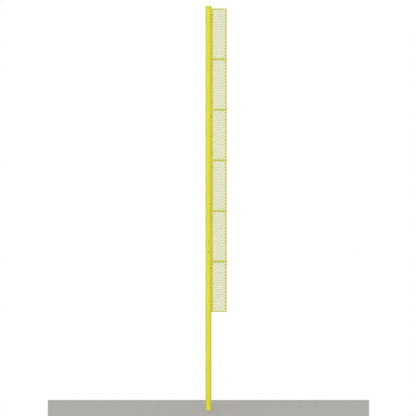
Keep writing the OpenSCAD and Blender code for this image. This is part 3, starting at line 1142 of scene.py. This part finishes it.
class FOULPOLE_OT_mounting_tabs(Operator):
    """Models the tabs that carry the wing on the pole"""

    bl_idname = "foul_pole.mounting_tabs"
    bl_label = "Mounting Tabs"

    def execute(self, context):
        sizes = context.scene.foul_pole_sizes
        wing, bolts = context.scene.foul_pole_wing, context.scene.foul_pole_hardware
        corner, top = low("upper_tab_1"), high("upper_tab_1")
        inside = 0.7 * sizes.radius
        place = ((inside + top.x) / 2, (corner.y + top.y) / 2, 0)
        tab = add_block("tab", place, (top.x - inside, top.y - corner.y, top.z - corner.z))
        open_mesh(tab)
        choose("EDGE", lambda edge: level(edge) and near(middle(edge).x, top.x))
        bpy.ops.mesh.bevel(offset=wing.tab_corner, segments=6, affect="EDGES")
        close_mesh()
        cut(tab, add_turned("cope", [(-0.1, sizes.radius), (0.1, sizes.radius)], sizes.sides))
        drilled(tab, [at(TAB_BOLT_X, 0, 0) @ TO_BACK], bolts.tab_bolt / 2 + bolts.bolt_clear)
        applied(tab, "BEVEL", width=0.0005, segments=2, limit_method="ANGLE", angle_limit=radians(60))
        for i in PANELS:
            for end in ("upper", "lower"):
                node = f"{end}_tab_{i}"
                piece = copied(tab, f"tab_{end}_{i}", at(0, 0, middle_of(node).z))
                finished(piece, POLE, frame_coat(), [node])
        thrown_away(tab)
        return {"FINISHED"}


class FOULPOLE_OT_wing_hardware(Operator):
    """Models the bolts, nuts and washers that hold the wing to its tabs and panel to panel"""

    bl_idname = "foul_pole.wing_hardware"
    bl_label = "Wing Hardware"

    def execute(self, context):
        bolts = context.scene.foul_pole_hardware
        clear, bolt_y = bolts.thread_clear, middle_of("panel_washers").y
        insets = (bolts.panel_bolt_inset, PANEL_W - bolts.panel_bolt_inset)
        tab_spots = [at(TAB_BOLT_X, 0, z) @ TO_BACK for z in TAB_HEIGHTS]
        panel_spots = [at(WING_X + x, bolt_y, panel_z(i)) for i in PANELS[1:] for x in insets]
        # What is bolted together runs from near to far along each bolt
        for kind, d, spots, near_face, far_face in (
            ("tab", bolts.tab_bolt, tab_spots, -TUBE / 2, TAB_BACK_Y),
            ("panel", bolts.panel_bolt, panel_spots, -TUBE, TUBE),
        ):
            washer = WASHER_THICK * d
            start, end = near_face - washer, far_face + washer
            for part, source, steps in (
                ("bolt", add_hex_bolt("bolt", d, end - start), (start,)),
                ("nut", add_hex_nut("nut", d, clear), (end,)),
                ("washer", add_washer("washer", d, clear), (start, far_face)),
            ):
                places = [spot @ at(0, 0, step) for spot in spots for step in steps]
                piece = set_of(source, f"{kind}_{part}_set", places)
                finished(piece, POLE, zinc_plate(), [f"{kind}_{part}s"], angle=25)
        return {"FINISHED"}


class FOULPOLE_OT_weld_beads(Operator):
    """Models the welds of the frames, the mesh, the tabs and the cap"""

    bl_idname = "foul_pole.weld_beads"
    bl_label = "Weld Beads"

    def execute(self, context):
        sizes, wing = context.scene.foul_pole_sizes, context.scene.foul_pole_wing
        radius = wing.bead
        half_w, face = PANEL_W / 2, TUBE / 2

        # Frame corners: a flat bead along each mitre, and a fillet in each inside corner
        seam = add_bead("seam", 0.8 * sqrt(TUBE**2 + STILE**2), radius, ripple=0.0032)
        fillet = add_bead("fillet", 0.6 * TUBE, radius, ripple=0.0032)
        sunk_front, sunk_back = 0.7 * radius, 0.55 * radius
        beads = []
        for x_side, z_side in ((-1, -1), (-1, 1), (1, -1), (1, 1)):
            x = x_side * (half_w - STILE / 2)
            z = z_side * (PANEL_H - TUBE) / 2
            slope = Matrix.Rotation(atan2(STILE, TUBE) * x_side * z_side, 4, "Y")
            for y in (-face + sunk_front, face - sunk_back):
                beads.append(copied(seam, "bead", at(x, y, z) @ slope))
            inside = at(x - x_side * STILE / 2, -0.15 * TUBE, z - z_side * face)
            beads.append(copied(fillet, "bead", inside @ TO_BACK))
        corners = gathered("corners", beads)

        # Mesh: a tack wherever a strand or a bond meets the frame
        a, b = wing.pitch_x, wing.pitch_z
        long_tack, short_tack = (add_bead("tack", long, radius, long, 6) for long in (0.018, 0.013))
        short_tack.data.transform(turned(90, "Y"))
        tacks = []
        for side, offset in ((-1, 0), (1, -0.5)):
            for row in range(1, int(PANEL_H / b)):
                place = at(side * (half_w - STILE), 0, (offset - row) * b)
                tacks.append(copied(long_tack, "tack", place))
        corner_gap = 0.008
        reach = half_w - STILE - corner_gap
        for z in (-TUBE, TUBE - PANEL_H):
            for quarter in range(-31, 32, 2):
                x = quarter / 4 * a + wing.shift
                if abs(x) < reach:
                    tacks.append(copied(short_tack, "tack", at(x, 0, z)))
        net_tacks = gathered("net_tacks", tacks)
        mesh_y = middle_of("mesh_1").y
        for i in PANELS:
            piece = on_panel(corners, "frame_welds", i, 0, PANEL_H / 2)
            finished(piece, POLE, frame_coat(), angle=60)
        for i in PANELS:
            piece = on_panel(net_tacks, "net_tacks", i, mesh_y, PANEL_H)
            finished(piece, POLE, mesh_coat(), angle=60)

        # Tabs: an upright bead in front and behind, and a short one above and below
        corner, top = low("upper_tab_1"), high("upper_tab_1")
        tall, thick = top.z - corner.z, top.y - corner.y
        upright = add_bead("bead", tall, radius, ripple=0.0034)
        cross = add_bead("bead", thick + radius, radius, ripple=0.0034)
        # The short ones follow the pole as it curves away
        cross.data.transform(turned(-8, "Z") @ TO_BACK)
        proud = 0.0005
        spots = [(upright, corner.y, 0), (upright, top.y, 0)]
        spots += [(cross, (corner.y + top.y) / 2, side * tall / 2) for side in (-1, 1)]
        beads = []
        for z in TAB_HEIGHTS:
            for source, y, up in spots:
                x = sqrt(sizes.radius**2 - y**2) + proud
                beads.append(copied(source, "bead", at(x, y, z + up)))
        welds = gathered("tab_welds", beads)
        finished(welds, POLE, frame_coat(), angle=60)

        # Cap: three stitches under its lip
        stitch = add_bead("stitch", 0.03, 0.0022, ripple=0.0034)
        stitch.data.transform(TO_BACK)
        drop, proud = 0.0004, 0.0008
        place = at(sizes.radius + proud, 0, low("pole_cap").z - drop)
        places = [turned(30 + 120 * i, "Z") @ place for i in range(3)]
        stitches = set_of(stitch, "cap_stitch_welds", places)
        finished(stitches, POLE, pole_coat(), angle=60)
        thrown_away(seam, fillet, corners, long_tack, short_tack, net_tacks, upright, cross)
        return {"FINISHED"}


class FOULPOLE_OT_studio_stage(Operator):
    """Sets up the floor slab, the soft light, the white surroundings and the camera"""

    bl_idname = "foul_pole.studio_stage"
    bl_label = "Studio Stage"

    def execute(self, context):
        scene, stage = context.scene, context.scene.foul_pole_stage
        side, back, depth = stage.floor_side, stage.floor_back, stage.floor_depth
        long = side / 2 + back
        floor = add_block("floor_slab", (0, back - long / 2, -depth / 2), (side, long, depth))
        open_mesh(floor)
        # The sides draw in a little towards the camera, so that they look parallel in its view
        choose("VERT", lambda vertex: vertex.co.y < 0)
        nearer = 1 - long / stage.camera_distance
        bpy.ops.transform.resize(value=(nearer, 1, 1), center_override=(0, 0, 0))
        close_mesh()
        gap = 0.0003
        hole = high("ground_sleeve").x + gap
        cut(floor, add_turned("hole", [(-1, hole), (1, hole)], 96))
        material, place = new_material("floor grey")
        grain = noise(place, 45.0, 4.0, 0.6)
        pale, dark = tinted(stage.floor_grey, 1.015), tinted(stage.floor_grey, 0.985)
        shade = blended(mapped(grain, 0.3, 0.7), dark, pale)
        surfaced(material, shade, mapped(grain, 0.3, 0.7, 0.85, 0.95), grain, 0.0004)
        floor.data.materials.append(material)

        # Cameras, gloss and glass see white all round; everything else gets the ambient light
        world = bpy.data.worlds.new("white studio")
        world.use_nodes = True
        tree = world.node_tree
        tree.nodes.clear()
        path = add_node(tree, "ShaderNodeLightPath").outputs
        direct, gloss, glass = (Flow(path[f"Is {ray} Ray"]) for ray in ("Camera", "Glossy", "Transmission"))
        seen = direct.reckon("MAXIMUM", gloss).reckon("MAXIMUM", glass)
        lights = ({"Color": (1, 1, 1, 1), "Strength": strength} for strength in (1.0, stage.ambient))
        white, soft = (Flow(add_node(tree, "ShaderNodeBackground", light).outputs[0]) for light in lights)
        mix = add_node(tree, "ShaderNodeMixShader", {0: seen, 1: soft, 2: white})
        add_node(tree, "ShaderNodeOutputWorld", {"Surface": Flow(mix.outputs[0])})
        scene.world = world

        for name, energy, way in (
            ("soft key", stage.key, (0.243, 0.749, -0.616)),
            ("soft fill", stage.fill, (-0.627, 0.527, -0.574)),
            ("soft back", stage.back, (0.15, -0.93, -0.33)),
        ):
            lamp = bpy.data.lights.new(name, "SUN")
            lamp.energy, lamp.angle = energy, radians(60)  # a wide sun casts a soft shadow
            holder = bpy.data.objects.new(name, lamp)
            holder.rotation_euler = Vector(way).to_track_quat("-Z", "Y").to_euler()
            scene.collection.objects.link(holder)

        view = bpy.data.cameras.new("long lens")
        view.lens, view.sensor_width = 1600, 36
        view.clip_start, view.clip_end = 50, 3000
        camera = bpy.data.objects.new("long lens", view)
        tilt = stage.camera_tilt
        away = Vector((0, -cos(tilt), sin(tilt))) * stage.camera_distance
        camera.location = Vector(stage.aim) + away
        camera.rotation_euler = (pi / 2 - tilt, 0, 0)
        scene.collection.objects.link(camera)
        scene.camera = camera
        scene.view_settings.view_transform = "Standard"
        return {"FINISHED"}


STEPS = (
    FOULPOLE_OT_studio_stage,
    FOULPOLE_OT_ground_sleeve,
    FOULPOLE_OT_pole_sections,
    FOULPOLE_OT_pole_cap,
    FOULPOLE_OT_pole_joint,
    FOULPOLE_OT_wing_frames,
    FOULPOLE_OT_wing_mesh,
    FOULPOLE_OT_mounting_tabs,
    FOULPOLE_OT_wing_hardware,
    FOULPOLE_OT_weld_beads,
)
GROUPS = {
    "foul_pole_sizes": PoleSizes,
    "foul_pole_wing": WingSizes,
    "foul_pole_hardware": HardwareSizes,
    "foul_pole_finishes": Finishes,
    "foul_pole_stage": StageSettings,
}


class FOULPOLE_PT_steps(Panel):
    """Lists the steps that build the foul pole"""

    bl_label = "Foul Pole"
    bl_idname = "FOULPOLE_PT_steps"
    bl_space_type = "VIEW_3D"
    bl_region_type = "UI"
    bl_category = "Foul Pole"

    def draw(self, context):
        for step in STEPS:
            self.layout.operator(step.bl_idname)
        for name, kind in GROUPS.items():
            box = self.layout.box()
            for prop in kind.__annotations__:
                box.prop(getattr(context.scene, name), prop)


def register():
    for item in (*GROUPS.values(), *STEPS, FOULPOLE_PT_steps):
        bpy.utils.register_class(item)
    for name, kind in GROUPS.items():
        setattr(bpy.types.Scene, name, PointerProperty(type=kind))


def unregister():
    for name in GROUPS:
        delattr(bpy.types.Scene, name)
    for item in reversed((*GROUPS.values(), *STEPS, FOULPOLE_PT_steps)):
        bpy.utils.unregister_class(item)


def main():
    """Builds every piece in order."""
    register()
    for step in STEPS:
        family, name = step.bl_idname.split(".")
        getattr(getattr(bpy.ops, family), name)()


if __name__ == "__main__":
    main()
